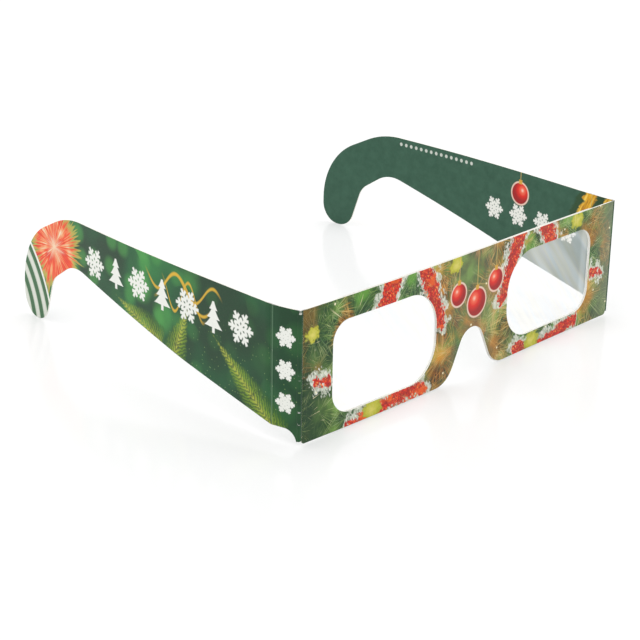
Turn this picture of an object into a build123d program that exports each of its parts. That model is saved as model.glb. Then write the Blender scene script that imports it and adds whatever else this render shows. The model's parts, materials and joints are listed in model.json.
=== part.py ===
from build123d import *
import math
import os

os.makedirs("parts", exist_ok=True)

# Folded card diffraction glasses, standing on a table as they are put down after use.
# Millimetres. X runs across the front, Y back along the temples, Z up.
# The origin is on the front card's outer face, midway between the eyes, at table level.

# The printed card blank: front, two hinge strips and two temples, cut from one sheet
card_thickness = 0.45
front_width = 145.4
card_height = 38.7
strip_width = 8.5
temple_length = 126.5

# The two diffraction films and the plain card glued over them from behind
film_thickness = 0.1
liner_thickness = 0.35
liner_rim = 5.8
liner_corner_radius = 8
liner_show = 0.4
glue_inset = 0.8
film_fit = 0.3

# How far each panel is folded as the glasses stand
strip_splay_left_angle = 10
temple_toe_in_left_angle = 7
side_splay_right_angle = 4.5

# The creases: a crushed bead as thick as the card, with a panel starting just off it
fold_clearance = 0.1

# The eye windows: their edges, and their corner radii as shares of the window's height
window_nasal_x = 17
window_side_margin = 12.5
window_base = 4.8
window_top_margin = 6.6
nasal_base_radius_share = 0.407
outer_base_radius_share = 0.259
outer_top_radius_share = 0.222
nasal_top_radius_share = 0.436
# The right window was cut a little higher than the left one
window_lift_right = 0.7
film_overlap = 2.7
film_corner_radius = 1

# The nose notch: a round arch between two straight flanks that end in rounded lobes
notch_height = 15.3
notch_arch_radius = 5.9
notch_flank_angle = 26.4
nose_lobe_radius = 8.3
front_corner_radius = 1.1

# The neck under each hinge strip and the temple's underside, which bends a little on its way
neck_rise = 4.3
neck_fillet_radius = 4
neck_angle = 10.6
underside_bend_at = 40
underside_bend_radius = 300
underside_angle = 13.1

# The ear hook. Under it an arch leads down to a throat and a steep flank; over it the top edge
# slopes off to a shoulder and the round back. Each place is measured from the hook's far end,
# and hook_flat is the least straight stretch between two rounds there.
arch_from_end = 31.9
arch_radius = 13.7
throat_from_end = 18.9
throat_radius = 8.5
hook_flank_angle = 20
hook_tip_radius = 7.3
hook_flat = 0.6
slope_from_end = 28.7
slope_radius = 35
slope_angle = 25.5
hook_back_radius = 25.2

# Sizes that follow from the ones above
front_base = liner_show
crease_radius = card_thickness
axis_inset = card_thickness
panel_start = crease_radius + fold_clearance
window_outer_x = front_width / 2 - window_side_margin
window_height = card_height - window_base - window_top_margin
liner_half_width = window_outer_x + liner_rim
window_middle_x = (window_nasal_x + window_outer_x) / 2
film_face = card_thickness
liner_face = card_thickness + film_thickness
LEFT, RIGHT = -1, 1
splay_out = {LEFT: strip_splay_left_angle, RIGHT: side_splay_right_angle}
temple_out = {LEFT: -temple_toe_in_left_angle, RIGHT: side_splay_right_angle}
side_name = {LEFT: "left", RIGHT: "right"}
window_foot = {LEFT: window_base, RIGHT: window_base + window_lift_right}


def back_plane(depth):
    """Upright plane across the front, a depth behind its outer face."""
    return Plane.XZ.offset(-depth)


def direction(side, outward_angle):
    """Level unit vector that points back and is turned outward on its own side."""
    angle = math.radians(outward_angle)
    return Vector(side * math.sin(angle), math.cos(angle), 0)


def corner_axis(side):
    """Where the fold line between the front and a hinge strip meets the table."""
    return Vector(side * (front_width / 2 - axis_inset), card_thickness, 0)


def temple_axis(side):
    """Where the fold line between a hinge strip and its temple meets the table."""
    return corner_axis(side) + direction(side, splay_out[side]) * strip_width


def panel_plane(start, along):
    """Upright plane on a panel's inner face: x runs along the panel and y up."""
    return Plane(origin=start, x_dir=along, z_dir=Vector(along.Y, -along.X, 0))


def notched_outline(half_width, base, base_radius, top_radius):
    """Outline of a front panel, with the nose notch cut up into its lower edge."""
    flank = math.radians(notch_flank_angle)
    peak = notch_height + notch_arch_radius / math.sin(flank) - notch_arch_radius
    mouth = (peak - base) * math.tan(flank)
    corners = [
        (-half_width, base),
        (-mouth, base),
        (0, peak),
        (mouth, base),
        (half_width, base),
        (half_width, card_height),
        (-half_width, card_height),
    ]
    radii = [
        base_radius,
        nose_lobe_radius,
        notch_arch_radius,
        nose_lobe_radius,
        base_radius,
        top_radius,
        top_radius,
    ]
    with BuildSketch() as outline:
        with BuildLine():
            FilletPolyline(*corners, radius=radii, close=True)
        make_face()
    return outline.sketch


def eye_window(side):
    """Outline of one eye window, with a wider sweep beside the nose than at the temple."""
    foot = window_foot[side]
    head = foot + window_height
    corners = [
        (side * window_nasal_x, foot),
        (side * window_outer_x, foot),
        (side * window_outer_x, head),
        (side * window_nasal_x, head),
    ]
    radii = [
        nasal_base_radius_share * window_height,
        outer_base_radius_share * window_height,
        outer_top_radius_share * window_height,
        nasal_top_radius_share * window_height,
    ]
    with BuildSketch() as window:
        with BuildLine():
            FilletPolyline(*corners, radius=radii, close=True)
        make_face()
    return window.sketch


def film_outline(side, margin):
    """Outline of one film, grown all round by a margin."""
    width = window_outer_x - window_nasal_x + 2 * (film_overlap + margin)
    height = window_height + 2 * (film_overlap + margin)
    with BuildSketch() as outline:
        with Locations((side * window_middle_x, window_foot[side] + window_height / 2)):
            RectangleRounded(width, height, film_corner_radius + margin)
    return outline.sketch


# Front card: the printed panel between the two corner folds
with BuildPart() as front_card:
    with BuildSketch(back_plane(0)):
        front_half_width = front_width / 2 - axis_inset - panel_start
        add(notched_outline(front_half_width, front_base, front_corner_radius, 0))
        add(eye_window(LEFT), mode=Mode.SUBTRACT)
        add(eye_window(RIGHT), mode=Mode.SUBTRACT)
    extrude(amount=-card_thickness)
front_card.part.label = "front_card"
export_step(front_card.part, "parts/front_card.step")

# Back liner: the plain white card behind the films, a little lower than the front card
with BuildPart() as back_liner:
    with BuildSketch(back_plane(liner_face)):
        add(notched_outline(liner_half_width, 0, liner_corner_radius, liner_corner_radius))
        add(eye_window(LEFT), mode=Mode.SUBTRACT)
        add(eye_window(RIGHT), mode=Mode.SUBTRACT)
    extrude(amount=-liner_thickness)
back_liner.part.label = "back_liner"
export_step(back_liner.part, "parts/back_liner.step")

# Glue layer: the adhesive between the two cards, left open where the films lie
with BuildPart() as glue_layer:
    with BuildSketch(back_plane(film_face)):
        add(notched_outline(liner_half_width, 0, liner_corner_radius, liner_corner_radius))
        offset(amount=-glue_inset)
        add(film_outline(LEFT, film_fit), mode=Mode.SUBTRACT)
        add(film_outline(RIGHT, film_fit), mode=Mode.SUBTRACT)
    extrude(amount=-film_thickness)
glue_layer.part.label = "glue_layer"
export_step(glue_layer.part, "parts/glue_layer.step")


def make_film(side):
    """One clear film with its fine ruled grating, larger all round than its window."""
    with BuildPart() as film:
        with BuildSketch(back_plane(film_face)):
            add(film_outline(side, 0))
        extrude(amount=-film_thickness)
    film.part.label = "film_" + side_name[side]
    export_step(film.part, "parts/film_" + side_name[side] + ".step")
    return film.part


def make_crease(name, foot, base):
    """The crushed bead of card on a fold line, as tall as the card there."""
    with BuildPart() as crease:
        with Locations((foot.X, foot.Y, base)):
            Cylinder(crease_radius, card_height - base, align=(Align.CENTER, Align.CENTER, Align.MIN))
    crease.part.label = name
    export_step(crease.part, "parts/" + name + ".step")
    return crease.part


def make_strip(side):
    """The narrow panel between the two creases, cut up to the neck by a round fillet."""
    centre = neck_fillet_radius + card_thickness
    fillet_foot = neck_rise - neck_fillet_radius
    near = panel_start
    far = strip_width - panel_start
    drop = math.sqrt(neck_fillet_radius**2 - (centre - near) ** 2)
    with BuildPart() as strip:
        with BuildSketch(panel_plane(corner_axis(side), direction(side, splay_out[side]))):
            with BuildLine():
                RadiusArc((near, fillet_foot + drop), (centre, neck_rise), neck_fillet_radius)
                Polyline(
                    (centre, neck_rise),
                    (far, neck_rise),
                    (far, card_height),
                    (near, card_height),
                    (near, fillet_foot + drop),
                )
            make_face()
        extrude(amount=side * card_thickness)
    strip.part.label = "strip_" + side_name[side]
    export_step(strip.part, "parts/strip_" + side_name[side] + ".step")
    return strip.part


def make_temple(side):
    """The tapering arm, with the arch that goes over the ear and the hook behind it."""
    rise = math.tan(math.radians(underside_angle))
    lean = math.tan(math.radians(hook_flank_angle))
    tip_turn = math.radians(90 - hook_flank_angle)
    back_turn = math.radians(90 - slope_angle)
    arch_at = temple_length - arch_from_end
    throat_at = temple_length - throat_from_end
    slope_at = temple_length - slope_from_end
    bend_height = neck_rise + (underside_bend_at - panel_start) * math.tan(math.radians(neck_angle))
    tip_inner = temple_length - hook_flat - hook_tip_radius * (1 + math.tan(tip_turn / 2))
    back_drop = slope_from_end * math.tan(math.radians(slope_angle))
    back_room = card_height - back_drop - hook_tip_radius - hook_flat
    back_radius = min(hook_back_radius, back_room / math.tan(back_turn / 2))
    corners = [
        (panel_start, neck_rise),
        (underside_bend_at, bend_height),
        (arch_at, bend_height + (arch_at - underside_bend_at) * rise),
        (throat_at, (tip_inner - throat_at) / lean),
        (tip_inner, 0),
        (temple_length, 0),
        (temple_length, card_height - back_drop),
        (slope_at, card_height),
        (panel_start, card_height),
    ]
    radii = [
        0,
        underside_bend_radius,
        arch_radius,
        throat_radius,
        hook_tip_radius,
        hook_tip_radius,
        back_radius,
        slope_radius,
        0,
    ]
    with BuildPart() as temple:
        with BuildSketch(panel_plane(temple_axis(side), direction(side, temple_out[side]))):
            with BuildLine():
                FilletPolyline(*corners, radius=radii, close=True)
            make_face()
        extrude(amount=side * card_thickness)
    temple.part.label = "temple_" + side_name[side]
    export_step(temple.part, "parts/temple_" + side_name[side] + ".step")
    return temple.part


for side in (LEFT, RIGHT):
    make_film(side)
    make_crease("corner_crease_" + side_name[side], corner_axis(side), front_base + front_corner_radius)
    make_crease("temple_crease_" + side_name[side], temple_axis(side), neck_rise)
    make_strip(side)
    make_temple(side)
    print(side_name[side], "corner fold at", corner_axis(side), "temple fold at", temple_axis(side))
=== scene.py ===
# %% [markdown]
# # Folded card diffraction glasses
# The real thing is one printed, die-cut sheet of card, bent at four creases, with two clear
# films and a plain white card glued behind its front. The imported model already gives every
# panel's outline and place. A texture painted on those solids would do for a far view, but the
# camera is close enough to show the white cut edge, the bent creases and the slight bow of the
# card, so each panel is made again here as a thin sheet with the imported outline.

import json
import math

import bmesh
import bpy
from mathutils import Matrix, Vector


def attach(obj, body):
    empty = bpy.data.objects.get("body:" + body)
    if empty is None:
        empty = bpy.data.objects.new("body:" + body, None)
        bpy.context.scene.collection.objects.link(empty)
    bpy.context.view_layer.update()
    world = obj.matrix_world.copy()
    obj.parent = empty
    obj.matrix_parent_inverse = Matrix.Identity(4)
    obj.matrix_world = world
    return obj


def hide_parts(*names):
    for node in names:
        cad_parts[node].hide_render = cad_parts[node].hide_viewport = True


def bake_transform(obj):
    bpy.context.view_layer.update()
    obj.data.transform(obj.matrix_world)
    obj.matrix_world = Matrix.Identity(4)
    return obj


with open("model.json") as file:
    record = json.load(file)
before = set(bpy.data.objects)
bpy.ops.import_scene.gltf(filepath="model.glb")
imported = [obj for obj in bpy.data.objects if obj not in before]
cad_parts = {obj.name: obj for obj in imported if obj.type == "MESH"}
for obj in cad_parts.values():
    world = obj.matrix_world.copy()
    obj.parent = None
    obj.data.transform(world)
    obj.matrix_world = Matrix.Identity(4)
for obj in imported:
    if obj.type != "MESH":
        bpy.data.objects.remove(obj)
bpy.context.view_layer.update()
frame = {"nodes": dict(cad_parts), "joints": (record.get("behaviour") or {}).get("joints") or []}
MM = 0.001

# %% [markdown]
# ## Where each panel lies
# Work on a folded sheet is easier flat. A panel is a flat frame of reference: an origin on the
# card's inner face, a level direction along the card, and the side that is outermost. `blank`
# is how far along the uncut sheet its origin is, so that the print runs on from panel to panel
# as it does on the real sheet, where it was printed before it was cut and folded.

# %% A panel's frame of reference
UV_PER_METRE = 10


class Panel:
    def __init__(self, origin, outward_angle, side, blank):
        turn = math.radians(outward_angle)
        self.origin = Vector((origin[0], origin[1], 0))
        self.side = side
        self.blank = blank
        self.along = Vector((side * math.sin(turn), math.cos(turn), 0))
        self.out = Vector((side * math.cos(turn), -math.sin(turn), 0))

    def flat(self, point):
        """A point as (along, up, out), in metres."""
        from_origin = point - self.origin
        return from_origin.dot(self.along), from_origin.z, from_origin.dot(self.out)

    def place(self, along, up, out):
        """The point that is flat at (along, up, out)."""
        return self.origin + self.along * along + self.out * out + Vector((0, 0, up))

    def uv(self, along, up):
        """The print's coordinates: tenths of a metre along the blank and up."""
        return (self.side * (self.blank + along) * UV_PER_METRE, up * UV_PER_METRE)


class FrontPanel(Panel):
    """The front runs from left to right, and its printed face looks forward."""

    def __init__(self, inner_y):
        super().__init__((0, inner_y), 0, 1, 0)
        self.along, self.out = Vector((1, 0, 0)), Vector((0, -1, 0))


# %% The five panels of the blank
BOARD = 0.45 * MM
SIDES = {"left": -1, "right": 1}
STRIP_ANGLE = {"left": 10, "right": 4.5}
TEMPLE_ANGLE = {"left": -7, "right": 4.5}
pin = {joint["name"]: Vector(joint["pos_m"]) for joint in frame["joints"]}
front = FrontPanel(BOARD)
half_front = pin["corner_fold_right"].x
strip_length = (pin["temple_fold_left"] - pin["corner_fold_left"]).to_2d().length
strip_end = half_front + strip_length
strips, temples = {}, {}
for side, sign in SIDES.items():
    strips[side] = Panel(pin["corner_fold_" + side], STRIP_ANGLE[side], sign, half_front)
    temples[side] = Panel(pin["temple_fold_" + side], TEMPLE_ANGLE[side], sign, strip_end)
print("fold lines on the blank, in mm:", round(half_front / MM, 2), "and", round(strip_end / MM, 2))

# %% [markdown]
# ## A pen for material nodes
# A printed picture needs a few hundred shader nodes, and wiring each by hand hides what they do.
# `Flow` lets what flows through nodes be added, multiplied and compared like numbers, and `Ink`
# holds a material with the few textures that the print is made of. The nodes that come out are
# ordinary ones, and the whole picture stays procedural.


# %% Values that flow through nodes
class Flow:
    def __init__(self, tree, socket):
        self.tree, self.socket = tree, socket

    def op(self, kind, a=None, b=None):
        """Puts the value through a Math node."""
        node = self.tree.nodes.new("ShaderNodeMath")
        node.operation = kind
        for i, x in enumerate((self, a, b)):
            if x is not None:
                feed(self.tree, node.inputs[i], x)
        return Flow(self.tree, node.outputs[0])

    def __add__(self, other):
        return self.op("ADD", other)

    def __sub__(self, other):
        return self.op("SUBTRACT", other)

    def __mul__(self, other):
        return self.op("MULTIPLY", other)

    def __truediv__(self, other):
        return self.op("DIVIDE", other)

    def __abs__(self):
        return self.op("ABSOLUTE")

    def least(self, other):
        return self.op("MINIMUM", other)

    def most(self, other):
        return self.op("MAXIMUM", other)

    def repeat(self, period):
        """Folds the value into -period/2 to period/2, again and again."""
        return self.op("WRAP", period / 2, -period / 2)

    def below(self, edge, soft=0.08):
        """1 under the edge and 0 over it, with a soft step between."""
        return ramp(self, edge - soft, edge + soft, 1, 0)

    def above(self, edge, soft=0.08):
        return ramp(self, edge - soft, edge + soft)

    def between(self, low, high, soft=0.5):
        return self.above(low, soft) * self.below(high, soft)


# %% Wiring, steps and distances
def feed(tree, socket, x):
    """Links a flowing value to a socket, or sets the socket to a plain number or colour."""
    if isinstance(x, Flow):
        tree.links.new(x.socket, socket)
    elif isinstance(x, bpy.types.NodeSocket):
        tree.links.new(x, socket)
    elif socket.type == "RGBA" and len(x) == 3:
        socket.default_value = (*x, 1)
    else:
        socket.default_value = x


def ramp(x, low, high, at_low=0.0, at_high=1.0):
    """A smooth step from one value to another."""
    node = x.tree.nodes.new("ShaderNodeMapRange")
    node.interpolation_type = "SMOOTHSTEP"
    for i, value in enumerate((x, low, high, at_low, at_high)):
        feed(x.tree, node.inputs[i], value)
    return Flow(x.tree, node.outputs[0])


def away(x, y):
    """Distance from a motif's middle."""
    return (x * x + y * y).op("SQRT")


# %% A material being drawn
MM_PER_UV = 1 / (UV_PER_METRE * MM)


class Ink:
    def __init__(self, name):
        self.material = bpy.data.materials.new(name)
        self.material.use_nodes = True
        self.tree = self.material.node_tree
        self.tree.nodes.clear()

    def put(self, kind, settings=None, **inputs):
        """Adds a node; an input's name is written with _ for a space."""
        node = self.tree.nodes.new(kind)
        for name, value in (settings or {}).items():
            setattr(node, name, value)
        for name, value in inputs.items():
            feed(self.tree, node.inputs[name.replace("_", " ")], value)
        return node

    def print_place(self):
        """(s, z), in millimetres from the front's middle along the blank and up."""
        place = self.put("ShaderNodeUVMap", {"uv_map": "Print"})
        parts = self.put("ShaderNodeSeparateXYZ", Vector=place.outputs[0])
        along, up = (Flow(self.tree, parts.outputs[i]) for i in range(2))
        return along * MM_PER_UV, up * MM_PER_UV

    def noise(self, x, y, layer=0.0, detail=2.0, rough=0.5):
        """Soft noise about one unit across; each motif reads a layer of its own."""
        at = self.put("ShaderNodeCombineXYZ", X=x, Y=y, Z=layer).outputs[0]
        node = self.put("ShaderNodeTexNoise", Vector=at, Scale=1.0, Detail=detail, Roughness=rough)
        return Flow(self.tree, node.outputs[0])

    def cells(self, x, y):
        """Scattered cells about one unit across: distance, three random numbers, and the centre."""
        at = self.put("ShaderNodeCombineXYZ", X=x, Y=y).outputs[0]
        node = self.put("ShaderNodeTexVoronoi", {"voronoi_dimensions": "2D"}, Vector=at, Scale=1.0)
        chance = self.put("ShaderNodeSeparateColor", Color=node.outputs["Color"])
        centre = self.put("ShaderNodeSeparateXYZ", Vector=node.outputs["Position"])
        return (
            Flow(self.tree, node.outputs["Distance"]),
            [Flow(self.tree, chance.outputs[i]) for i in range(3)],
            [Flow(self.tree, centre.outputs[i]) for i in range(2)],
        )

    def over(self, under, colour, amount):
        """Prints a colour over what is there. A Mix node's colours are its inputs 6 and 7."""
        node = self.put("ShaderNodeMix", {"data_type": "RGBA"})
        feed(self.tree, node.inputs[0], amount)
        feed(self.tree, node.inputs[6], under)
        feed(self.tree, node.inputs[7], colour)
        return node.outputs[2]

    def colours(self, x, *stops):
        """A colour for each value of x from pairs of (place, colour)."""
        node = self.put("ShaderNodeValToRGB", Fac=x)
        bar = node.color_ramp.elements
        while len(bar) < len(stops):
            bar.new(0.5)
        for stop, (place, colour) in zip(bar, stops):
            stop.position, stop.color = place, (*colour, 1)
        return node.outputs[0]

    def board(self, colour, roughness, height, bump, varnish=0.0):
        """Finishes the material as board, with a fine relief given in millimetres."""
        relief = self.put("ShaderNodeBump", Strength=bump, Distance=MM, Height=height).outputs[0]
        shader = self.put(
            "ShaderNodeBsdfPrincipled",
            Base_Color=colour,
            Roughness=roughness,
            Normal=relief,
            Specular_IOR_Level=0.3,
            Coat_Weight=varnish,
            Coat_Roughness=0.18,
        )
        return self.finish(shader.outputs[0])

    def finish(self, surface):
        self.put("ShaderNodeOutputMaterial", Surface=surface)
        print("material", self.material.name, "has", len(self.tree.nodes), "nodes")
        return self.material


# %% [markdown]
# ## Ink under varnish
# White studio light shines back from varnish and greys whatever is printed under it. So each ink
# is made a little more vivid than it looks, and darker by the share of light that the shine adds.

# %% Colours and inks
SHINE, VIVID, DARKEST = 0.02, 1.18, 0.003


def rgb(red, green, blue, gloss=0.0):
    """A colour as it looks on a screen, turned into the share of light that the surface sends
    back. gloss is the share that its shine adds to that."""
    return tuple(max(((c / 255 + 0.055) / 1.055) ** 2.4 - gloss, DARKEST) for c in (red, green, blue))


def tint(*screen):
    """The ink that looks like this colour under the varnish."""
    middle = sum(screen) / 3
    vivid = (min(max(middle + (c - middle) * VIVID, 0), 255) for c in screen)
    return rgb(*vivid, gloss=SHINE)


print("mid grey ink sends back", round(tint(128, 128, 128)[0], 3), "of the light")

# %% [markdown]
# ## Fir needles
# The real print is a blurred close-up of a decorated tree, mostly short needles that spray out
# from the ends of twigs. Stretched noise gives needles that all lie one way. Here a Voronoi
# texture scatters the twig ends, and noise that changes with the direction from the nearest one,
# and hardly with the distance, draws the spray round it. Four sizes, laid over each other, hide
# where one spray stops.

# %% A spray of needles
# Shares of a spray's size: the least distance from its middle, and where its needles fade out
TWIG_END, SPRAY_FADE = 0.03, (0.66, 0.34)


def spray(ink, s, z, size, count, seed, low=0.5, high=0.6):
    """How much of a needle is at each point, and its spray's random numbers, tone and distance
    from the twig's end. size is in millimetres, and a higher count gives finer needles."""
    x, y = s / size + seed, z / size + seed * 0.37
    _, chance, centre = ink.cells(x, y)
    dx, dy = x - centre[0], y - centre[1]
    far = away(dx, dy).most(TWIG_END)
    turn = chance[0] * 30
    streak = ink.noise(dx / far * count, dy / far * count, far * 1.4 + turn, 2.5, 0.62)
    return ramp(streak, low, high) * ramp(far, *SPRAY_FADE), chance, streak, far


# %% The tree's colours
GREEN_SHADES = (
    (0.34, tint(30, 52, 36)),
    (0.52, tint(54, 78, 50)),
    (0.66, tint(90, 116, 64)),
    (0.82, tint(126, 162, 86)),
)
BROWN_SHADES = (
    (0.34, tint(64, 52, 32)),
    (0.5, tint(108, 86, 44)),
    (0.66, tint(158, 128, 62)),
)
COOL_NEEDLES = (
    (0.68, tint(46, 80, 44)),
    (0.84, tint(90, 128, 64)),
    (0.95, tint(138, 160, 92)),
    (1.0, tint(196, 204, 154)),
)
WARM_NEEDLES = (
    (0.68, tint(112, 76, 36)),
    (0.86, tint(182, 132, 58)),
    (1.0, tint(224, 200, 140)),
)
BLUE_GREEN, COPPER, CANDLE = tint(66, 120, 92), tint(176, 88, 44), tint(238, 166, 66)


# %% The tree behind everything
# Each layer of sprays: its size in millimetres, its count, its seed and how strong it is
SPRAY_LAYERS = (
    (30, 18, 1.7, 0.6),
    (21, 21, 8.2, 0.8),
    (15, 17, 4.9, 0.85),
    (10, 13, 12.4, 0.75),
)


def fir_tree(ink, s, z, golden, bright):
    """golden is where warm light falls on the tree, and bright where any light does."""
    shade = ink.noise(s / 7, z / 7, 3.1, 3)
    green = ink.colours(shade + bright * 0.22, *GREEN_SHADES)
    brown = ink.colours(shade, *BROWN_SHADES)
    under = ink.over(green, brown, golden * 0.25)
    for size, count, seed, strength in SPRAY_LAYERS:
        needles, chance, streak, far = spray(ink, s, z, size, count, seed)
        tone = streak * 2.2 + bright * 0.16 + chance[1] * 0.2 - 0.58
        cool = ink.colours(tone, *COOL_NEEDLES)
        warm = ink.colours(tone, *WARM_NEEDLES)
        cool = ink.over(cool, BLUE_GREEN, ramp(chance[2], 0.75, 0.9) * 0.5)
        warm = ink.over(warm, COPPER, ramp(chance[2], 0.3, 0.1) * 0.6)
        lit = ramp(golden + chance[0] * 0.5, 0.42, 0.85)
        under = ink.over(under, ink.over(cool, warm, lit), needles * strength)
        under = ink.over(under, CANDLE, ramp(far, 0.24, 0.02) * lit * golden * 0.7)
    return under


# %% [markdown]
# ## Tinsel
# A tinsel garland is a mass of tiny foil strips: close up it breaks into facets from dark red to
# bright orange, and its rim is a ragged pale fringe. Two sets of Voronoi cells, slanted against
# each other and about half a millimetre across, are the facets. The garland's width is varied by
# the first set, so the rim breaks along its cells.

# %% The tinsel's colours
FOIL = (
    (0.0, tint(156, 42, 30)),
    (0.3, tint(200, 54, 40)),
    (0.86, tint(222, 84, 52)),
    (1.0, tint(240, 156, 92)),
)
FRINGE = (
    (0.0, tint(190, 198, 180)),
    (0.5, tint(216, 220, 208)),
    (1.0, tint(240, 240, 232)),
)
FOIL_GAP, FOIL_SHADE, FOIL_GLEAM = tint(124, 32, 30), tint(142, 32, 28), tint(238, 118, 52)


# %% A garland of tinsel
def facets(ink, gap, chance):
    """Foil strips, dark where they meet."""
    return ink.over(ink.colours(chance, *FOIL), FOIL_GAP, ramp(gap, 0.42, 0.62) * 0.7)


def tinsel(ink, under, off_line, s, z, width, fringe):
    """Lays a garland over the print; off_line is the distance from its middle line, width its
    half width and fringe the fringe's, all in millimetres."""
    gap, facet, _ = ink.cells(s * 2.2 + z * 0.9, z * 1.05 - s * 0.6)
    other_gap, other, _ = ink.cells(s * 1.1 - z * 0.8, z * 1.7 + s * 1.1)
    ragged = ink.noise(s / 2.2, z / 2.2, 7.7, 3, 0.6) * 5 + facet[2] * 1.3 - 3.1
    rim = off_line + ragged
    fringe = (ink.noise(s / 3.1, z / 3.1, 2.8, 2) - 0.5) * 7 + fringe
    crossed = facets(ink, other_gap, other[0])
    glitter = ink.over(facets(ink, gap, facet[0]), crossed, other[1].above(0.5, 0.02))
    shade = ramp(ink.noise(s / 2.4, z / 2.4, 4.4, 2), 0.5, 0.62)
    gleam = ramp(ink.noise(s / 6, z / 5, 11.5, 2), 0.53, 0.66)
    glitter = ink.over(glitter, FOIL_SHADE, shade * 0.6)
    glitter = ink.over(glitter, FOIL_GLEAM, gleam * 0.6)
    pale = (rim - fringe).below(width, 0.5) * ramp(facet[0], 0.08, 0.3, 0.35, 0.9)
    under = ink.over(under, ink.colours(facet[1], *FRINGE), pale)
    return ink.over(under, glitter, rim.below(width, 0.3))


# %% Wavy lines
def wave(s, middle, height, length, start):
    """How high a wavy line is at s; start is a place where it crosses its middle upwards."""
    return ((s - start) * (math.tau / length)).op("SINE") * height + middle


def off_wave(s, z, middle, height, length, start):
    """Distance from a wavy line, measured square to it."""
    slope = ((s - start) * (math.tau / length)).op("COSINE") * (height * math.tau / length)
    return abs(z - wave(s, middle, height, length, start)) / (slope * slope + 1).op("SQRT")


# %% [markdown]
# ## Small printed motifs
# Snowflakes, trees and baubles are drawn with distances, not pictures. A snowflake is one sixth
# of itself: the angle is folded into thirty degrees, and one arm with two twigs does for all.

# %% Snowflake
ARM_LENGTH = 0.95
# Each pair of twigs: where it leaves the arm, and its length
TWIGS = ((0.3, 0.34), (0.58, 0.3))
TWIG_COS, TWIG_SIN = 0.5, 0.866


def snowflake(x, y, size, line=0.085):
    """1 inside a six-armed flake; x and y run from its middle, and line is half an arm's width,
    as a share of the size."""
    x, y = x / size, y / size
    far = away(x, y)
    turn = abs(y.op("ARCTAN2", x).repeat(math.tau / 6))
    along, across = turn.op("COSINE") * far, turn.op("SINE") * far
    arm = across.most(along - ARM_LENGTH + line)
    twigs = None
    for root, tip in TWIGS:
        on_twig = (along - root) * TWIG_COS + across * TWIG_SIN
        off_twig = abs((along - root) * TWIG_SIN - across * TWIG_COS)
        twig = off_twig.most(on_twig - tip + line)
        twigs = twig if twigs is None else twigs.least(twig)
    return arm.least(twigs).below(line, 0.03)


# %% Little tree
TREE_FOOT, TREE_TOP, TIER = 0.35, 1.98, 0.55


def little_tree(x, y, size):
    """1 inside a fir in three tiers on a trunk; x and y run from its middle."""
    x, y = x / size, y / size + 1
    up_tier = (y - TREE_FOOT).op("WRAP", TIER, 0)
    half_width = (y * -0.42 + 1.0) * (up_tier * -0.9 + 0.95)
    tiers = (abs(x) - half_width).below(0, 0.04)
    trunk = (abs(x) - 0.12).below(0, 0.03) * y.between(0.0, 0.4, 0.02)
    return (tiers * y.between(0.34, TREE_TOP, 0.02)).most(trunk)


# %% Bauble
BALL_RED = (
    (0.0, tint(250, 214, 196)),
    (0.22, tint(232, 120, 96)),
    (0.55, tint(208, 60, 52)),
    (1.0, tint(150, 34, 36)),
)
THREAD_GOLD, CAP_GOLD, BALL_OUTLINE = tint(214, 184, 120), tint(206, 164, 84), tint(232, 206, 190)


def bauble(ink, under, s, z, x, y, size):
    """A shiny red ball at (x, y) with a pale outline, a gold cap and a thread."""
    dx, dy = s - x, z - y
    off_ball = away(dx, dy) - size
    thread = abs(dx).below(0.14, 0.08) * dy.above(size, 0.2)
    under = ink.over(under, THREAD_GOLD, thread * 0.8)
    cap = abs(dx).most(abs(dy - size - 0.4)).below(0.75, 0.12)
    under = ink.over(under, BALL_OUTLINE, off_ball.below(0.55, 0.15))
    glow = away(dx + size * 0.3, dy - size * 0.35) / size
    under = ink.over(under, ink.colours(glow, *BALL_RED), off_ball.below(0, 0.15))
    return ink.over(under, CAP_GOLD, cap)


# %% [markdown]
# ## Wear at the folds, a painted crease highlight, and the varnish
# Ink cracks where card is bent sharply, and the white board shows in a few short nicks. A paler
# line along the second crease, which the creasing rule pressed, is a painted highlight where light
# catches the crease. Varnish over the ink gives a soft sheen, and the relief is the fine orange
# peel of varnished card.

# %% Worn ink, a painted crease highlight and varnish
CORNER_AT, SECOND_AT = half_front / MM, strip_end / MM
PAPER, CREASE_HIGHLIGHT_GREEN = tint(238, 237, 231), tint(124, 150, 126)


def worn_with_crease_highlight(ink, colour, s, z):
    """Cracks the ink at the two folds of each side, most of all at the corner's top, and paints a paler
    highlight along the second crease.
    """
    at = abs(s)
    nick = ink.noise(z * 0.4, s * 0.9, 5.3, 4, 0.65)
    corner = abs(at - CORNER_AT) * 1.6 + ramp(nick, 0.6, 0.74, 0.6, 0) - ramp(z, 36.4, 38.2) * 0.3
    colour = ink.over(colour, PAPER, corner.below(0.26, 0.16) * 0.9)
    second = abs(at - SECOND_AT)
    # A paler green line along the second crease: a painted highlight on the crease
    colour = ink.over(colour, CREASE_HIGHLIGHT_GREEN, second.below(0.16, 0.12) * 0.4)
    return ink.over(colour, PAPER, (second + ramp(nick, 0.62, 0.74, 0.5, 0)).below(0.14, 0.1))


def varnished(ink, colour, s, z):
    peel = ink.noise(s * 2.2, z * 2.2, 1.9, 2)
    sheen = ramp(peel, 0.3, 0.7, 0.36, 0.46)
    return ink.board(worn_with_crease_highlight(ink, colour, s, z), sheen, peel, 0.012, varnish=0.1)


# %% [markdown]
# ## The print on the front
# A decorated tree with two tinsel garlands, yellow-green bows, a few tiny lights and, between
# the eyes, three baubles. One garland swings over each window and comes down beside the nose,
# and the other runs under the windows and shows again outside them. The colours, their shares
# and their sizes follow the photograph, and the picture is a new one.


# %% The tree's light and shade on the front
HOLLOW_GREEN, FRESH_GREEN = tint(44, 66, 48), tint(112, 168, 74)
HAZE_BETWEEN_EYES, HAZE_AT_RIGHT = tint(166, 160, 138), tint(136, 142, 118)


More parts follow.
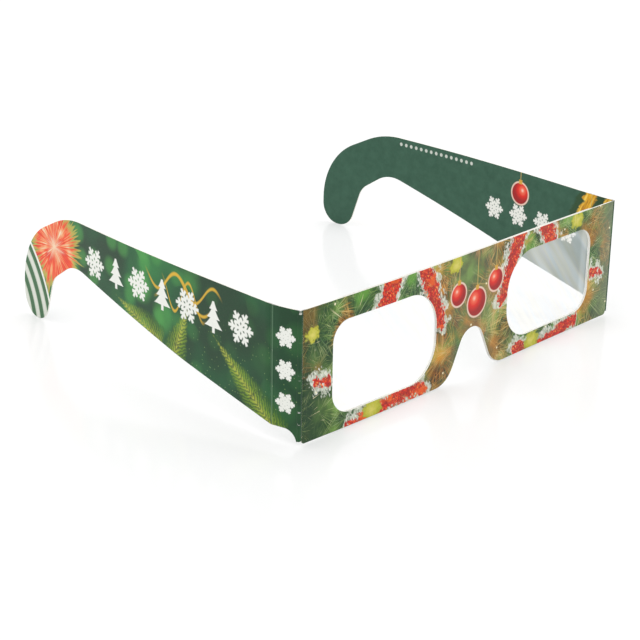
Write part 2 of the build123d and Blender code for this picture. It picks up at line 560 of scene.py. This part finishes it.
def front_tree(ink, s, z):
    """Golden beside the nose, darker low on the left and between the eyes, hazy at the right."""
    at = abs(s)
    beside_nose = ramp(abs(at - 14), 11, 3) * 0.54
    golden = beside_nose.most(ramp(ink.noise(s / 15, z / 15, 9.4, 1), 0.49, 0.63) * 0.62)
    bright = ramp(ink.noise(s / 12, z / 12, 14.2, 2), 0.46, 0.62) * ramp(at, 73, 58, 0.3, 1)
    colour = fir_tree(ink, s, z, golden, bright)
    hollow = ramp(ink.noise(s / 8, z / 8, 21.3, 2), 0.52, 0.66) * 0.45
    low_on_left = ramp(s, -57, -70) * ramp(z, 30, 8, 0.6, 0.85)
    between_eyes = ramp(at, 13, 4) * ramp(hollow, 0, 0.4, 0.25, 0.6)
    colour = ink.over(colour, HOLLOW_GREEN, hollow.most(low_on_left).most(between_eyes))
    colour = ink.over(colour, HAZE_BETWEEN_EYES, ramp(at, 16, 6) * 0.16)
    colour = ink.over(colour, HAZE_AT_RIGHT, ramp(s, 60, 70) * 0.5)
    fresh = ramp(ink.noise(s / 9, z / 9, 31.7, 2), 0.52, 0.68)
    return ink.over(colour, FRESH_GREEN, fresh * ramp(at, 62, 52) * ramp(at, 13, 22, 0.2, 0.55))


# %% The two garlands
# Each garland's wave is its middle, height, length and start, and its size is the half widths of
# the foil and the fringe
OVER_WINDOW, OVER_SIZE = (19.5, 25, 58, -44), (3.3, 1.8)
UNDER_WINDOW, UNDER_SIZE = (0, 1.8, 43, -84), (2.2, 2.0)


def garlands(ink, under, s, z):
    """A garland is thinned or hidden by adding to the distance from its middle line."""
    at = abs(s)
    hidden = ramp(at, 44, 52, 0, 7) + ramp(z, 21, 13, 0, 7) + ramp(at, 24, 15, 0, 1)
    under = tinsel(ink, under, off_wave(s, z, *OVER_WINDOW) + hidden, s, z, *OVER_SIZE)
    climb = ramp(at, 56, 60, 1.6, 16)
    off_line = abs(z - wave(s, *UNDER_WINDOW) - climb)
    hidden = ramp(at, 23, 16, 0, 6) + ramp(at, 58, 68, 0, 1.2) + ramp(at, 67, 71, 0, 4)
    hidden = hidden + ramp(abs(at - 58), 3.2, 1.8, 0, 6)
    return tinsel(ink, under, off_line + hidden, s + 40, z, *UNDER_SIZE)


# %% Bows, lights and pale strands
# Each bow: where its middle is, and its size, in millimetres
BOWS = ((-44, 2.6, 3.8), (-9, 36.5, 3), (31, 2.6, 3.8), (52, 36.5, 3.2), (-68, 31, 2.6))
BOW_YELLOW = (
    (0.3, tint(214, 206, 120)),
    (0.6, tint(186, 184, 76)),
    (0.85, tint(138, 152, 62)),
)
LIGHT_EVERY, LIGHT_WARM = 6.5, tint(255, 246, 214)
# Pale strands: size, count, seed and threshold of their spray, then their ink and strength
STRANDS = (
    (9, 12, 27.1, 0.6, 0.66, tint(186, 200, 140), 0.5),
    (19, 12, 15.3, 0.67, 0.71, tint(236, 226, 190), 0.85),
)


def bows(ink, under, s, z):
    tuft = ink.noise(s / 1.3, z / 1.3, 2.2, 3, 0.65) * 5
    for x, y, size in BOWS:
        ball = away(s - x, (z - y) * 1.2) + tuft
        yellow = ink.colours(ball / 8, *BOW_YELLOW)
        under = ink.over(under, yellow, ball.below(size + 2.4, 0.5))
    return under


def lights_and_strands(ink, under, s, z):
    light, chance, _ = ink.cells(s / LIGHT_EVERY, z / LIGHT_EVERY)
    spark = (light * LIGHT_EVERY).below(0.3, 0.2) * chance[0].above(0.7, 0.02)
    under = ink.over(under, LIGHT_WARM, spark)
    for *how, pale, strength in STRANDS:
        under = ink.over(under, pale, spray(ink, s, z, *how)[0] * strength)
    return under


# %% Front print
# Each bauble: where its middle is, and its radius, in millimetres
BAUBLES = ((-7.2, 27, 3.3), (10.6, 27.4, 3.3), (1.6, 22.6, 4.2))


def front_print():
    ink = Ink("print_front")
    s, z = ink.print_place()
    colour = front_tree(ink, s, z)
    colour = garlands(ink, colour, s, z)
    colour = bows(ink, colour, s, z)
    colour = lights_and_strands(ink, colour, s, z)
    for ball in BAUBLES:
        colour = bauble(ink, colour, s, z, *ball)
    return varnished(ink, colour, s, z)


print_front = front_print()

# %% [markdown]
# ## The print on the strips and the temples
# Dark green with soft out-of-focus lights, sprigs of fir caught by a warm light, gold streamers
# and a row of white motifs; a burst of red and gold where the ear hook begins, and curved bands
# at its tip. Both sides of the blank carry the same picture, mirrored, so it is drawn with
# `at`, the distance from the front's middle, and `u`, the distance behind the second crease.

# %% A sprig of fir
SPRIG_GREEN = (
    (0.1, tint(188, 190, 92)),
    (0.4, tint(128, 154, 62)),
    (0.8, tint(66, 100, 50)),
)


def sprig(ink, under, x, y, start, angle, length):
    """A fir sprig lit from behind: a stem with needles that lean forward on both sides."""
    turn = math.radians(angle)
    dx, dy = x - start[0], y - start[1]
    along = dx * math.cos(turn) + dy * math.sin(turn)
    across = abs(dy * math.cos(turn) - dx * math.sin(turn))
    rough = ink.noise(along / 1.5, across / 1.5, angle, 2)
    comb = ((along - across * 1.1) * 4.4 + rough * 11).op("SINE")
    reach = ramp(along, length * 0.2, length, 6.5, 1.0) - rough * 2.5
    inside = (across - reach).below(0, 0.7) * along.between(-2, length, 1)
    green = ink.colours(across / 7 + rough * 0.3, *SPRIG_GREEN)
    needles = ramp(comb, -0.6, 0.7, 0.3, 0.95)
    return ink.over(under, green, inside * needles * ramp(rough, 0.3, 0.5, 0.45, 1))


# %% The ground of the side print
SIDE_GREEN = (
    (0.0, tint(38, 68, 50)),
    (0.5, tint(46, 88, 60)),
    (1.0, tint(60, 120, 72)),
)
LIGHT_GREEN, DUST_GREEN, STREAMER_GOLD = tint(92, 162, 88), tint(150, 178, 120), tint(216, 178, 74)
# Soft lights: how far apart, seed and strength
SOFT_LIGHTS = ((13, 0.0, 0.5), (8, 5.5, 0.35))
# Sprigs: where each starts, the way it points in degrees, and its length
SPRIGS = (((-1, 3), 38, 34), ((44, 7), 112, 24), ((50, 14), 20, 22))
# Streamers: middle, height, length and start of the wave, and between which places it is drawn
STREAMERS = ((33, 3.2, 17, 3, 22, 54), (31.5, 4.6, 23, 12, 26, 50), (30, 5, 13, 6, 29, 46))
DUST_EVERY = 1.3


def side_ground(ink, at, u, z):
    shade = ink.noise(at / 22, z / 22, 0.4, 2)
    lit = ramp(shade, 0.35, 0.65) * ramp(u, -12, 20)
    colour = ink.colours(lit, *SIDE_GREEN)
    for size, seed, strength in SOFT_LIGHTS:
        far, chance, _ = ink.cells(at / size + seed, z / size)
        disc = far.below(0.33, 0.16) * chance[0].above(0.5, 0.05)
        colour = ink.over(colour, LIGHT_GREEN, disc * strength * ramp(u, 20, 60, 0.25, 1.3))
    for start, angle, length in SPRIGS:
        colour = sprig(ink, colour, u, z, start, angle, length)
    dust, chance, _ = ink.cells(at / DUST_EVERY, z / DUST_EVERY)
    grains = (dust * DUST_EVERY).below(0.13, 0.1) * chance[1].above(0.8, 0.02)
    grains = grains * ramp(u, 62, 30) * ramp(z, 34, 14)
    colour = ink.over(colour, DUST_GREEN, grains * 0.7)
    for middle, height, length, start, low, high in STREAMERS:
        off = abs(z - wave(u, middle, height, length, start))
        ribbon = off.below(0.45, 0.3) * u.between(low, high, 2)
        colour = ink.over(colour, STREAMER_GOLD, ribbon * 0.9)
    return colour


# %% White motifs in a row along the temple and in a column down the strip
FLAKE_AT, TREE_AT, ROW_HEIGHT, ROW_EVERY = 12.7, 24.3, 28.2, 23.2
FLAKE_SIZE, TREE_SIZE = 5.4, 4.7
COLUMN_HEIGHT, COLUMN_EVERY, COLUMN_SIZE, COLUMN_LINE = 11.6, 9.4, 3.3, 0.115
MOTIF_WHITE, COLUMN_WHITE = tint(243, 244, 238), tint(240, 241, 235)


def white_motifs(ink, under, at, u, z):
    flakes = snowflake((u - FLAKE_AT).repeat(ROW_EVERY), z - ROW_HEIGHT, FLAKE_SIZE)
    trees = little_tree((u - TREE_AT).repeat(ROW_EVERY), z - ROW_HEIGHT, TREE_SIZE)
    under = ink.over(under, MOTIF_WHITE, flakes.most(trees) * u.between(6.5, 90, 0.2))
    across, up = at - (CORNER_AT + SECOND_AT) / 2, (z - COLUMN_HEIGHT).repeat(COLUMN_EVERY)
    column = snowflake(across, up, COLUMN_SIZE, COLUMN_LINE)
    on_strip = at.between(CORNER_AT + 0.6, SECOND_AT - 0.5, 0.1)
    return ink.over(under, COLUMN_WHITE, column * on_strip * z.between(6.5, 35.1, 0.1))


# %% The burst and the bands at the ear hook
BURST_MIDDLE, BURST_REACH, BURST_RAYS = (106, 27), 20.5, 17
BURST_YELLOW, BURST_HEART = tint(186, 178, 96), tint(248, 236, 206)
BURST_RED = (
    (0.36, tint(204, 56, 38)),
    (0.5, tint(228, 92, 58)),
    (0.59, tint(238, 176, 128)),
    (0.69, tint(246, 236, 212)),
)
TIP_BANDS = (
    (0.0, tint(58, 98, 66)),
    (0.46, tint(82, 122, 86)),
    (0.54, tint(206, 212, 200)),
    (1.0, tint(224, 227, 218)),
)
# The bands are rings round a point beyond the hook and under the card's foot
BAND_EVERY, BAND_REACH = 5.2, 41.5


def hook_print(ink, under, u, z):
    dx, dy = u - BURST_MIDDLE[0], z - BURST_MIDDLE[1]
    far = away(dx, dy)
    streak = ink.noise(dx / far * BURST_RAYS, dy / far * BURST_RAYS, far * 0.1, 2)
    ragged = far + streak * 17
    patch = ink.noise(u / 6, z / 6, 3.7, 2)
    red = ink.colours(streak * 0.6 + patch * 0.4, *BURST_RED)
    under = ink.over(under, BURST_YELLOW, ragged.below(BURST_REACH + 3, 1.0) * 0.9)
    under = ink.over(under, red, ragged.below(BURST_REACH, 1.6))
    under = ink.over(under, BURST_HEART, ramp(ragged, 13, 7))
    band = away(u - 150, z + 6)
    stripe = (band * (math.tau / BAND_EVERY)).op("SINE")
    tip = ink.colours(stripe * 0.5 + 0.5, *TIP_BANDS)
    under = ink.over(under, tip, (band + ink.noise(u, z) * 0.6).below(BAND_REACH, 0.2))
    return ink.over(under, MOTIF_WHITE, abs(band - 41.7).below(0.5, 0.15))


# %% Side print
def side_print():
    ink = Ink("print_side")
    s, z = ink.print_place()
    at = abs(s)
    u = at - SECOND_AT
    colour = side_ground(ink, at, u, z)
    colour = white_motifs(ink, colour, at, u, z)
    colour = hook_print(ink, colour, u, z)
    return varnished(ink, colour, s, z)


print_side = side_print()

# %% [markdown]
# ## The inner side of the sheet
# The back of the blank has one flat, muted dark green with a few small motifs, and the camera
# sees it on the far temple. Even flat ink isn't one colour: it mottles softly on card.

# %% A gold patch
GOLD_LEAF = (
    (0.36, tint(172, 124, 44)),
    (0.5, tint(222, 172, 64)),
    (0.64, tint(240, 208, 112)),
)
PATCH_GREEN, CARD_HEIGHT = tint(52, 74, 48), 38.7


def gold_patch(ink, under, u, z):
    """Two torn slips of gold on a darker patch, by the top edge at the second crease."""
    lean = u + (z - CARD_HEIGHT) * 0.45
    leaf = ink.noise(lean / 1.1, z / 7, 8.8, 3, 0.6)
    gold = ink.colours(leaf, *GOLD_LEAF)
    tear = ink.noise(lean / 5, z / 2.2, 3.6, 3) * 4 - 2
    patch = (abs(lean + 3.2) + tear).below(8.5, 0.7)
    under = ink.over(under, PATCH_GREEN, patch * ramp(z, 24, 30) * 0.8)
    slips = (abs(lean) + tear).below(2.4, 0.4).most((abs(lean + 7) + tear).below(1.2, 0.4))
    return ink.over(under, gold, slips * ramp(z, 27, 29))


# %% Inner print
INNER_GREEN = ((0.3, tint(56, 86, 71)), (0.7, tint(66, 97, 81)))
INNER_WHITE, DOT_GREY = tint(238, 238, 232), tint(206, 210, 202)
DOTS_AT, DOTS_HEIGHT, DOTS_EVERY, DOT_SIZE = 72, 36.6, 2.4, 0.62
INNER_FLAKE_AT, INNER_FLAKE_HEIGHT, INNER_FLAKE_EVERY = 43.5, 23.6, 11.2
INNER_BAUBLE = (32, 31.3, 3.6)


def inner_print():
    ink = Ink("print_inner")
    s, z = ink.print_place()
    u = abs(s) - SECOND_AT
    mottle = ink.noise(s / 3, z / 3, 6.6, 4, 0.6)
    colour = gold_patch(ink, ink.colours(mottle, *INNER_GREEN), u, z)
    dots = away((u - DOTS_AT).repeat(DOTS_EVERY), z - DOTS_HEIGHT).below(DOT_SIZE, 0.16)
    colour = ink.over(colour, DOT_GREY, dots * u.between(54, 90, 0.1))
    across = (u - INNER_FLAKE_AT).repeat(INNER_FLAKE_EVERY)
    flakes = snowflake(across, z - INNER_FLAKE_HEIGHT, 4.3, 0.095)
    colour = ink.over(colour, INNER_WHITE, flakes * u.between(4.3, 49.1, 0.1))
    colour = bauble(ink, colour, u, z, *INNER_BAUBLE)
    return varnished(ink, colour, s, z)


print_inner = inner_print()

# %% [markdown]
# ## Bare board, its cut edge and the glue
# The liner is plain white card. Its surface is a mat of fibres, which a little stretched noise
# gives, and the die-cut edge is rougher and a shade greyer. The two films under the liner lift
# it by their own thickness, which shows as a faint step round each.

# %% White board, cut edge and glue
# The films' middle and half size, across and up, in millimetres
FILM_MIDDLE, FILM_HALF = (38.6, 18.8), (24.3, 16.4)


def bare_board(name, light, dark, roughness, bump, grain, lifted=False):
    """grain is how fine the fibres are across, up and through the card."""
    ink = Ink(name)
    place = ink.put("ShaderNodeTexCoord").outputs["Object"]
    parts = ink.put("ShaderNodeSeparateXYZ", Vector=place)
    x, y, z = (Flow(ink.tree, parts.outputs[i]) / MM for i in range(3))
    fibre = ink.noise(x * grain[0], z * grain[1], y * grain[2], 4, 0.65)
    cloud = ink.noise(x / 14, z / 14, y / 14, 2)
    colour = ink.colours(fibre * 0.6 + cloud * 0.4, (0.38, rgb(*dark)), (0.58, rgb(*light)))
    relief = fibre
    if lifted:
        off_side = abs(abs(x) - FILM_MIDDLE[0]) - FILM_HALF[0]
        off_film = off_side.most(abs(z - FILM_MIDDLE[1]) - FILM_HALF[1])
        relief = relief + ramp(off_film, 0.5, -0.5) * 2
    return ink.board(colour, roughness, relief, bump)


BOARD_GRAIN, EDGE_GRAIN, GLUE_GRAIN = (0.9, 2.4, 0.9), (2.5, 2.5, 2.5), (0.5, 0.5, 0.5)
white_board = bare_board("white_board", (248, 248, 245), (237, 237, 232), 0.58, 0.05, BOARD_GRAIN, True)
cut_edge = bare_board("cut_edge", (243, 241, 234), (220, 217, 207), 0.85, 0.08, EDGE_GRAIN)
dry_glue = bare_board("dry_glue", (236, 233, 220), (222, 216, 196), 0.35, 0.1, GLUE_GRAIN)

# %% [markdown]
# ## The diffraction film
# The film is clear with a very fine ruled grating, which throws a weak milky veil back. The faint
# colours that the grating makes of the light, in slanting streaks, are painted into the veil. A
# glass shader would bend what is seen through it and go black at the rim, so the film is a
# see-through sheet mixed with a veil that scatters light to both sides.
# The veil shows over dark things and is lost in front of white ones.

# %% Grating film
# The veil's colours: grey, with faint tints that are painted diffraction colours of the light
VEIL_AND_PAINTED_RAINBOW = (
    (0.36, rgb(200, 205, 210)),
    (0.47, rgb(204, 205, 205)),
    (0.55, rgb(207, 206, 199)),
    (0.66, rgb(204, 204, 208)),
)


def grating_film():
    ink = Ink("grating_film")
    s, z = ink.print_place()
    slant = ink.noise((s + z * 0.8) / 3.2, (z - s * 0.6) / 40, 1.3, 2)
    # Painted diffraction colours in slanting streaks over the grey veil
    veil_and_painted_rainbow = ink.colours(slant, *VEIL_AND_PAINTED_RAINBOW)
    clear = ink.put("ShaderNodeBsdfTransparent", Color=(1, 1, 1))
    veil = ink.put("ShaderNodeAddShader")
    for i, kind in enumerate(("ShaderNodeBsdfDiffuse", "ShaderNodeBsdfTranslucent")):
        ink.tree.links.new(ink.put(kind, Color=veil_and_painted_rainbow).outputs[0], veil.inputs[i])
    # The veil is a little thicker towards the nose and thinner right at the window's outer edge. A
    # band of thicker veil just inside that edge is a painted sheen.
    streaks = ink.noise((s + z * 0.9) / 7, (z - s * 0.7) / 60, 4.4, 2)
    share = ramp(streaks, 0.35, 0.65, 0.32, 0.45)
    share = share + ramp(abs(abs(s) - 57.5), 2.5, 0.5) * 0.1
    share = share + ramp(abs(s), 52, 34) * 0.06 - ramp(abs(s), 58.5, 60) * 0.1
    film = ink.put("ShaderNodeMixShader", Fac=share)
    ink.tree.links.new(clear.outputs[0], film.inputs[1])
    ink.tree.links.new(veil.outputs[0], film.inputs[2])
    return ink.finish(film.outputs[0])


def clear_face():
    """The film's smooth back, which adds nothing: one face of the sheet carries the grating."""
    ink = Ink("film_back")
    clear = ink.put("ShaderNodeBsdfTransparent", Color=(1, 1, 1))
    return ink.finish(clear.outputs[0])


grating, film_back = grating_film(), clear_face()

# %% [markdown]
# ## Sheets of board
# A panel is flat, with a rim left by the cutting die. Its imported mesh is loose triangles, so a
# copy is merged and its flat faces are dissolved back into one. The rim is bevelled by a
# twentieth of a millimetre, which is what catches the light, and the sheet is bisected into
# narrow bands, because a flat face can't bow. Print, back and cut edge get a material each, by
# which way a face points while the sheet is still flat.

# %% How far each panel bows
TEMPLE = 126.5 * MM
# How far behind a fold line its flat panel starts
REACH = 0.55 * MM
FRONT_BELLY, FRONT_LEFT_BELLY = 0.84, 0.40


def straight(along):
    return 0.0


def front_bow(x):
    """Forward by the left window, less by the right one, as the photograph shows."""
    t = (x + half_front) / (2 * half_front)
    return (FRONT_BELLY * math.sin(math.pi * t) + FRONT_LEFT_BELLY * math.sin(math.tau * t)) * MM


def temple_bow(belly):
    """A temple bellies outwards between its crease and its hook, by so much in the middle."""
    return lambda along: belly * MM * math.sin(math.pi * (along - REACH) / (TEMPLE - REACH))


print("front bows forward by", [round(front_bow(x * MM) / MM, 2) for x in (-40, 0, 40)], "mm")

# %% From a mesh to a piece
PRINTED, BACK, RIM = 0, 1, 2


def face_outwards(bm):
    bmesh.ops.recalc_face_normals(bm, faces=bm.faces)
    if bm.calc_volume(signed=True) < 0:
        bmesh.ops.reverse_faces(bm, faces=bm.faces)


def print_and_paint(bm, panel, uv_of):
    """Front, back and rim each take a material, and every corner its place on the blank."""
    print_map = bm.loops.layers.uv.new("Print")
    bm.normal_update()
    for face in bm.faces:
        face.material_index = PRINTED if face.normal.z > 0.9 else BACK if face.normal.z < -0.9 else RIM
        for loop in face.loops:
            loop[print_map].uv = panel.uv(*uv_of(loop.vert))


def piece_of(name, bm, materials, node):
    """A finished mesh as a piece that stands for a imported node."""
    face_outwards(bm)
    mesh = bpy.data.meshes.new(name)
    bm.to_mesh(mesh)
    bm.free()
    mesh.polygons.foreach_set("use_smooth", [True] * len(mesh.polygons))
    for material in materials:
        mesh.materials.append(material)
    piece = bpy.data.objects.new(name, mesh)
    bpy.context.scene.collection.objects.link(piece)
    piece.modifiers.new("Flat faces stay flat", "WEIGHTED_NORMAL").keep_sharp = True
    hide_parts(node)
    print(name, "has", len(mesh.polygons), "faces")
    return piece


# %% The rim and the bands
ON_FOLD_WITHIN = 1e-5
# The faces at an edge that the die cut turn by more than this, in radians
DIE_EDGE = 0.9
BAND_WIDTH = 2.5 * MM


def bevel_rim(bm, rounding, folds):
    """Rounds the edges that the die cut, but not those where the panel meets a fold."""

    def cut_by_die(edge):
        on_fold = any(all(abs(v.co.x - x) < ON_FOLD_WITHIN for v in edge.verts) for x in folds)
        return len(edge.link_faces) == 2 and edge.calc_face_angle() > DIE_EDGE and not on_fold

    rim = [edge for edge in bm.edges if cut_by_die(edge)]
    bmesh.ops.bevel(
        bm,
        geom=rim,
        offset=rounding * MM,
        segments=2,
        profile=0.5,
        affect="EDGES",
        clamp_overlap=True,
        material=-1,
    )


def cut_in_bands(bm):
    low, high = min(v.co.x for v in bm.verts), max(v.co.x for v in bm.verts)
    bands = round((high - low) / BAND_WIDTH)
    for i in range(1, bands):
        cut = low + (high - low) * i / bands
        everything = bm.verts[:] + bm.edges[:] + bm.faces[:]
        bmesh.ops.bisect_plane(bm, geom=everything, plane_co=(cut, 0, 0), plane_no=(1, 0, 0), dist=1e-7)


# %% A sheet from a packed panel
MERGE_WITHIN, FLAT_WITHIN = 2e-6, math.radians(1)


def sheet(name, node, panel, body, materials, slot, bow=straight, rounding=0.05, folds=()):
    """folds are the places along the panel where it meets a crease."""
    bm = bmesh.new()
    bm.from_mesh(frame["nodes"][node].data)
    bmesh.ops.remove_doubles(bm, verts=bm.verts, dist=MERGE_WITHIN)
    for v in bm.verts:
        v.co = panel.flat(v.co)
    face_outwards(bm)
    bmesh.ops.dissolve_limit(bm, angle_limit=FLAT_WITHIN, verts=bm.verts, edges=bm.edges)
    bevel_rim(bm, rounding, folds)
    cut_in_bands(bm)
    print_and_paint(bm, panel, lambda v: (v.co.x, v.co.y))
    for v in bm.verts:
        along, up, out = v.co
        v.co = panel.place(along, up, out + bow(along))
    piece = piece_of(name, bm, materials, node)
    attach(piece, body)
    return piece


# %% [markdown]
# ## Card that bends
# The imported creases are round beads, so that each fold has something solid on its axis. On the
# real sheet there is no bead: the outer ply goes round a corner while the inner ply is pinched on
# the fold line. A strip of grid is extruded to the card's thickness while it is flat, printed
# like the panels, and then each column is turned about the fold line by its share of the bend.

# %% The columns of a bent strip
# Each column is (share of the bend, place across the fold). Those on the fold line itself are
# set a millionth of a metre apart, which keeps their order.
TO_FOLD = (1, 0.8, 0.62, 0.46, 0.32, 0.2, 0.1)
BEND_STEPS = 8
COLUMNS = [(0, -REACH * t) for t in TO_FOLD]
COLUMNS += [(k / BEND_STEPS, (k - BEND_STEPS / 2) * 1e-6) for k in range(BEND_STEPS + 1)]
COLUMNS += [(1, REACH * t) for t in reversed(TO_FOLD)]
LAST_COLUMN = len(COLUMNS) - 1
# How many faces a bent strip has from foot to top
LEVELS = 4


def flat_strip():
    """A strip of card one unit high and thick, with one unit from column to column."""
    bm = bmesh.new()
    bmesh.ops.create_grid(bm, x_segments=LAST_COLUMN, y_segments=LEVELS, size=0.5)
    for v in bm.verts:
        v.co = (round((v.co.x + 0.5) * LAST_COLUMN), v.co.y + 0.5, 0)
    grown = bmesh.ops.extrude_face_region(bm, geom=bm.faces[:])["geom"]
    bmesh.ops.translate(bm, vec=(0, 0, 1), verts=[g for g in grown if isinstance(g, bmesh.types.BMVert)])
    face_outwards(bm)
    return bm


print("a bent strip has", len(COLUMNS), "columns")

# %% A crease as a strip of bent card
GROOVE = 0.17 * MM
SHARP_BEND = math.radians(45)


def fold_skin(name, node, first, second, bodies, base, materials, slot, crush):
    """base is the foot of the card at both ends, and crush how deep the creasing rule pressed."""
    fold = second.origin
    back = first.along * (-1 if (fold - first.origin).dot(first.along) > 0 else 1)
    bend = -first.out.to_2d().angle_signed(second.out.to_2d())
    top = max(v.co.z for v in frame["nodes"][node].data.vertices)
    bm = flat_strip()

    def on_card(v):
        t = COLUMNS[round(v.co.x)][1]
        foot = base[0] + (base[1] - base[0]) * (t + REACH) / (2 * REACH)
        return t, foot + (top - foot) * v.co.y

    print_and_paint(bm, second, on_card)
    for v in bm.verts:
        turned, t = COLUMNS[round(v.co.x)]
        _, up = on_card(v)
        out = Matrix.Rotation(bend * turned, 3, "Z") @ first.out
        shift = back * -t if turned == 0 else second.along * t if turned == 1 else Vector()
        dent = crush * MM * math.exp(-((t / GROOVE) ** 2))
        v.co = fold + shift + out * (BOARD * v.co.z - dent) + Vector((0, 0, up))
    bmesh.ops.remove_doubles(bm, verts=bm.verts, dist=1e-7)
    bmesh.ops.dissolve_degenerate(bm, dist=1e-7, edges=bm.edges)
    piece = piece_of(name, bm, materials, node)
    abs(bend) > SHARP_BEND
    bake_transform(piece)
    return piece


# %% [markdown]
# ## The front
# The front is a laminate: the printed card, two films with glue round them, and the white liner.
# All of them bow together, as sheets that are glued to each other do. Film and glue are thinner
# than card, so their rims are rounded less.

# %% Front, liner, glue and films
THIN_ROUNDING = 0.02
front_card = (print_front, print_inner, cut_edge)
side_card = (print_side, print_inner, cut_edge)
plain_card = (white_board, white_board, cut_edge)
glue = (dry_glue, dry_glue, dry_glue)
clear_film = (grating, film_back, grating)
half = half_front - REACH


def front_sheet(name, node, materials, slot, **more):
    return sheet(name, node, front, "front", materials, slot, front_bow, **more)


front_sheet("front_panel", "front_card", front_card, "printed_card", folds=(-half, half))
front_sheet("liner_panel", "back_liner", plain_card, "plain_card")
front_sheet("glue_between_cards", "glue_layer", glue, "glue", rounding=THIN_ROUNDING)
for side in SIDES:
    name, node = "film_sheet_" + side, "film_" + side
    front_sheet(name, node, clear_film, "grating_film", rounding=THIN_ROUNDING)

# %% [markdown]
# ## The sides
# Each side is a strip and a temple, with a bent skin of card at the corner fold and another at
# the second crease. The creasing rule pressed the second crease in from the printed side, and
# the first one is bent so far that its outer ply is stretched smooth.

# %% Strips and temples
BELLY = {"left": 2, "right": 3}


def side_sheet(kind, side, panel, folds, bow=straight):
    names = kind + "_panel_" + side, kind + "_" + side
    sheet(*names, panel, side + "_" + kind, side_card, "printed_card", bow, folds=folds)


def strip_and_temple(side):
    side_sheet("strip", side, strips[side], (REACH, strip_length - REACH))
    side_sheet("temple", side, temples[side], (REACH,), temple_bow(BELLY[side]))


# %% Creases
# How deep the creasing rule pressed, in millimetres
STRETCHED_SMOOTH, PRESSED_IN = 0.0, 0.09


def foot_of(node):
    return min(v.co.z for v in frame["nodes"][node].data.vertices)


def crease(kind, side, first, second, bodies, base, crush):
    names = kind + "_fold_skin_" + side, kind + "_crease_" + side
    fold_skin(*names, first, second, bodies, base, side_card, "printed_card", crush)


def creases(side):
    strip, temple = strips[side], temples[side]
    strip_body, temple_body = side + "_strip", side + "_temple"
    corner_feet = foot_of("corner_crease_" + side), foot_of("strip_" + side)
    neck = foot_of("temple_crease_" + side)
    crease("corner", side, front, strip, ("front", strip_body), corner_feet, STRETCHED_SMOOTH)
    crease("temple", side, strip, temple, (strip_body, temple_body), (neck, neck), PRESSED_IN)


# %% Both sides
for side in SIDES:
    strip_and_temple(side)
    creases(side)

# %% [markdown]
# ## Table, light and camera
# The glasses stand on a glossy white table under broad, even studio light. A bright world alone
# would light them without any shadow, so it is helped by one large lamp, which leaves the faint
# shadows that set the glasses on the table. Half of what is seen of the table is plain white, so
# that it fades into the white background, and the other half keeps the shadow and the
# reflection. The camera stands where the photographer's did: about half a metre away, 20 degrees
# above the table and to the left of the front.

# %% Table
FLOOR_HALF, FLOOR_DROP, BLEACHED_SHARE = 8, 0.02 * MM, 0.48
floor_mesh = bpy.data.meshes.new("floor")
bm = bmesh.new()
bmesh.ops.create_grid(bm, x_segments=2, y_segments=2, size=FLOOR_HALF)
bm.to_mesh(floor_mesh)
bm.free()
floor = bpy.data.objects.new("floor", floor_mesh)
bpy.context.scene.collection.objects.link(floor)
floor.location.z = -FLOOR_DROP
table = Ink("table_white")
table_top = table.put(
    "ShaderNodeBsdfPrincipled", Base_Color=rgb(247, 247, 247), Roughness=0.15, Specular_IOR_Level=0.6
)
bleached = table.put("ShaderNodeEmission", Color=(1, 1, 1), Strength=1.0)
path = table.put("ShaderNodeLightPath").outputs
camera_ray, glossy_ray, clear_ray = (
    Flow(table.tree, path["Is " + kind + " Ray"]) for kind in ("Camera", "Glossy", "Transmission")
)
both = table.put("ShaderNodeMixShader", Fac=(camera_ray + glossy_ray + clear_ray) * BLEACHED_SHARE)
table.tree.links.new(table_top.outputs[0], both.inputs[1])
table.tree.links.new(bleached.outputs[0], both.inputs[2])
floor_mesh.materials.append(table.finish(both.outputs[0]))

# %% Light
LAMP_PLACE, LAMP_TARGET = Vector((0.1, 0.25, 1.5)), Vector((0, 0.05, 0))
LAMP_WIDTH, LAMP_WATTS = 1.3, 7
world = bpy.data.worlds.new("studio")
bpy.context.scene.world = world
world.use_nodes = True
world.node_tree.nodes["Background"].inputs["Color"].default_value = (1, 1, 1, 1)
world.node_tree.nodes["Background"].inputs["Strength"].default_value = 1.0
lamp_data = bpy.data.lights.new("key", "AREA")
lamp_data.shape, lamp_data.size, lamp_data.energy = "DISK", LAMP_WIDTH, LAMP_WATTS
lamp = bpy.data.objects.new("key", lamp_data)
bpy.context.scene.collection.objects.link(lamp)
lamp.location = LAMP_PLACE
lamp.rotation_mode = "QUATERNION"
lamp.rotation_quaternion = (LAMP_TARGET - LAMP_PLACE).to_track_quat("-Z", "Y")
print("lamp is", round((LAMP_TARGET - LAMP_PLACE).length, 2), "m away")

# %% Camera
YAW, PITCH, ROLL = 0.8291, 0.3588, 0.0185
CAMERA_PLACE = Vector((-0.3793, -0.2878, 0.1941))
FOCAL_PIXELS, PHOTO_PIXELS, SENSOR = 1726.3, 640, 36
ahead = Vector((math.sin(YAW) * math.cos(PITCH), math.cos(YAW) * math.cos(PITCH), -math.sin(PITCH)))
level_right = ahead.cross(Vector((0, 0, 1))).normalized()
level_up = level_right.cross(ahead)
right = level_right * math.cos(ROLL) + level_up * math.sin(ROLL)
up = level_up * math.cos(ROLL) - level_right * math.sin(ROLL)
camera_data = bpy.data.cameras.new("camera")
camera_data.sensor_width = SENSOR
camera_data.lens = SENSOR * FOCAL_PIXELS / PHOTO_PIXELS
camera_data.clip_start, camera_data.clip_end = 0.01, 100
camera = bpy.data.objects.new("camera", camera_data)
bpy.context.scene.collection.objects.link(camera)
turned = Matrix((right, up, -ahead)).transposed().to_4x4()
camera.matrix_world = Matrix.Translation(CAMERA_PLACE) @ turned
bpy.context.scene.camera = camera
bpy.context.scene.view_settings.view_transform = "Standard"
print("lens in mm:", round(camera_data.lens, 1))
